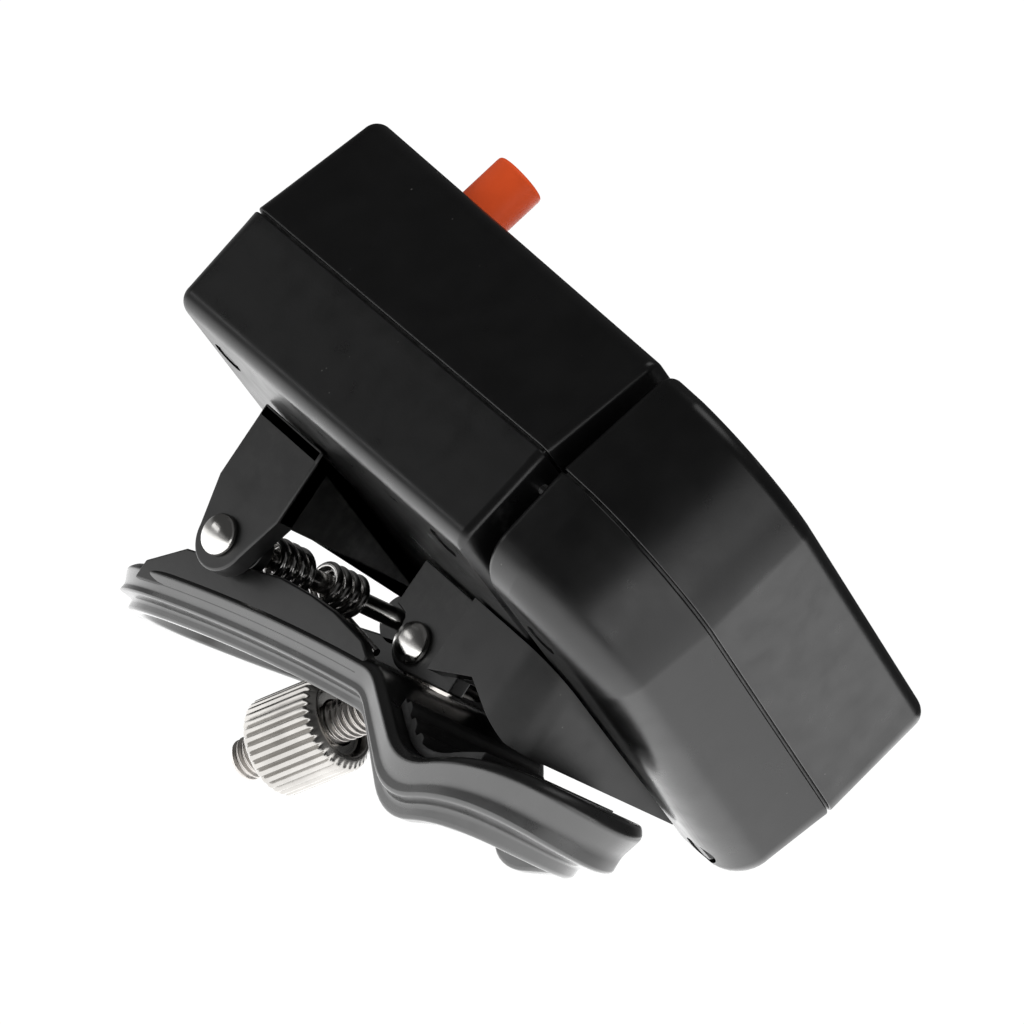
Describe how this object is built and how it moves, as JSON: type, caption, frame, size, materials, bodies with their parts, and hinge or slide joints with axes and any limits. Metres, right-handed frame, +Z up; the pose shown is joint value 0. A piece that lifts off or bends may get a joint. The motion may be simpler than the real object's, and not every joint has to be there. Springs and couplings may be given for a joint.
{
  "type": "fishing line counter",
  "caption": "Line counter for a fishing rod: a tilted two-part black case with a line slot, a measuring wheel and number drums, on a sprung clamp with a swing bolt.",
  "frame": {"origin": "middle of the clamped rod, half way along the jaw", "axes": "+Y along the rod, +X across the rod towards the rounded nose, +Z up from the rod towards the housing"},
  "size_m": [0.0758, 0.0625, 0.07],
  "materials": {
    "black_plastic": "moulded black plastic, fine satin grain",
    "clamp_plastic": "moulded black glass-filled plastic, satin",
    "orange_plastic": "moulded orange-red plastic",
    "clear_plastic": "clear moulded window",
    "white_plastic": "moulded white plastic",
    "grey_plastic": "moulded grey plastic",
    "rubber": "black rubber",
    "steel": "nickel-plated steel",
    "brass": "machined brass"
  },
  "bodies": {
    "housing": {"upper_case": "black_plastic", "lower_case": "black_plastic", "nose_upper_case": "black_plastic", "nose_lower_case": "black_plastic", "clamp_bracket": "clamp_plastic", "window_lens": "clear_plastic", "upper_pad": "rubber", "case_screw_1": "steel", "case_screw_2": "steel", "case_screw_3": "steel", "case_screw_4": "steel", "nose_screw_1": "steel", "nose_screw_2": "steel", "line_guide_near": "steel", "line_guide_far": "steel", "button_spring": "steel", "lever_pin": "steel", "drum_shaft": "steel", "transfer_shaft": "steel", "counter_frame": "steel", "pinch_pivot": "steel", "pinch_spring": "steel", "jaw_pin": "steel", "bolt_pin": "steel", "bracket_screw_1": "steel", "bracket_screw_2": "steel", "bracket_screw_3": "steel", "torsion_spring": "steel", "upper_bush": "brass", "lower_bush": "brass"},
    "button": {"reset_button": "orange_plastic"},
    "lever": {"reset_lever": "grey_plastic"},
    "wheel": {"measuring_wheel": "grey_plastic", "wheel_tyre": "rubber", "wheel_axle": "steel", "drive_worm": "brass"},
    "gear_train": {"worm_gear": "brass", "gear_shaft": "steel", "drive_pinion": "brass"},
    "units": {"units_drum": "white_plastic"},
    "tens": {"tens_drum": "white_plastic"},
    "hundreds": {"hundreds_drum": "white_plastic"},
    "transfer_1": {"transfer_pinion_1": "grey_plastic"},
    "transfer_2": {"transfer_pinion_2": "grey_plastic"},
    "pinch": {"pinch_arm": "grey_plastic", "pinch_axle": "steel"},
    "pinch_roller": {"pinch_wheel": "white_plastic"},
    "jaw": {"lower_jaw": "clamp_plastic", "lower_pad": "rubber"},
    "bolt": {"swing_bolt": "steel"},
    "washer": {"nut_washer": "steel"},
    "nut": {"thumb_nut": "steel"}
  },
  "joints": [
    {"name": "reset_press", "type": "slide", "parent": "housing", "child": "button", "axis": [0, -0.3173, -0.9483], "range_m": [0, 0.0025], "stiffness_N_per_m": 300, "deforming": ["button_spring"]},
    {"name": "reset_lever_swing", "type": "hinge", "parent": "housing", "child": "lever", "pos_m": [-0.0314, -0.00302, 0.03394], "axis": [1, 0, 0], "range_deg": [0, 30]},
    {"name": "measuring_wheel_spin", "type": "hinge", "parent": "housing", "child": "wheel", "pos_m": [-0.00398, 0.0025, 0.0205], "axis": [0, 0.3173, 0.9483], "continuous": true},
    {"name": "gear_shaft_spin", "type": "hinge", "parent": "housing", "child": "gear_train", "pos_m": [-0.00398, 0.00727, 0.01331], "axis": [1, 0, 0], "continuous": true},
    {"name": "units_spin", "type": "hinge", "parent": "housing", "child": "units", "pos_m": [-0.0384, 0.00516, 0.02309], "axis": [1, 0, 0], "continuous": true},
    {"name": "tens_spin", "type": "hinge", "parent": "housing", "child": "tens", "pos_m": [-0.0298, 0.00516, 0.02309], "axis": [1, 0, 0], "continuous": true},
    {"name": "hundreds_spin", "type": "hinge", "parent": "housing", "child": "hundreds", "pos_m": [-0.0212, 0.00516, 0.02309], "axis": [1, 0, 0], "continuous": true},
    {"name": "transfer_1_spin", "type": "hinge", "parent": "housing", "child": "transfer_1", "pos_m": [-0.0337, -0.00388, 0.02206], "axis": [1, 0, 0], "continuous": true},
    {"name": "transfer_2_spin", "type": "hinge", "parent": "housing", "child": "transfer_2", "pos_m": [-0.0251, -0.00388, 0.02206], "axis": [1, 0, 0], "continuous": true},
    {"name": "pinch_arm_swing", "type": "hinge", "parent": "housing", "child": "pinch", "pos_m": [0.0103, 0.01995, 0.01466], "axis": [0, 0.3173, 0.9483], "range_deg": [0, 3.2], "stiffness_Nm_per_rad": 0.05, "deforming": ["pinch_spring"]},
    {"name": "pinch_wheel_spin", "type": "hinge", "parent": "pinch", "child": "pinch_roller", "pos_m": [0.0103, 0.0025, 0.0205], "axis": [0, 0.3173, 0.9483], "continuous": true},
    {"name": "bolt_swing", "type": "hinge", "parent": "housing", "child": "bolt", "pos_m": [-0.0114, 0, 0.0031], "axis": [0, -1, 0], "range_deg": [0, 7]},
    {"name": "nut_travel", "type": "slide", "parent": "bolt", "child": "washer", "axis": [-0.6388, 0, -0.7694], "range_m": [0, 0.0035]},
    {"name": "nut_spin", "type": "hinge", "parent": "washer", "child": "nut", "pos_m": [-0.0114, 0, 0.0031], "axis": [-0.6388, 0, -0.7694], "range_deg": [0, 1576]},
    {"name": "jaw_swing", "type": "hinge", "parent": "housing", "child": "jaw", "pos_m": [-0.035, 0, -0.0003], "axis": [0, 1, 0], "range_deg": [0, 8]}
  ],
  "couplings": [
    {"joint": "reset_lever_swing", "follows": "reset_press", "rad_per_m": 184},
    {"joint": "gear_shaft_spin", "follows": "measuring_wheel_spin", "ratio": 0.055556},
    {"joint": "units_spin", "follows": "measuring_wheel_spin", "ratio": -0.018519},
    {"joint": "tens_spin", "follows": "measuring_wheel_spin", "ratio": -0.0018519},
    {"joint": "hundreds_spin", "follows": "measuring_wheel_spin", "ratio": -0.00018519},
    {"joint": "transfer_1_spin", "follows": "measuring_wheel_spin", "ratio": 0.0046296},
    {"joint": "transfer_2_spin", "follows": "measuring_wheel_spin", "ratio": 0.00046296},
    {"joint": "pinch_wheel_spin", "follows": "measuring_wheel_spin", "ratio": -1.7966},
    {"joint": "nut_spin", "follows": "nut_travel", "rad_per_m": 7854},
    {"joint": "jaw_swing", "follows": "nut_travel", "rad_per_m": 39.794}
  ]
}
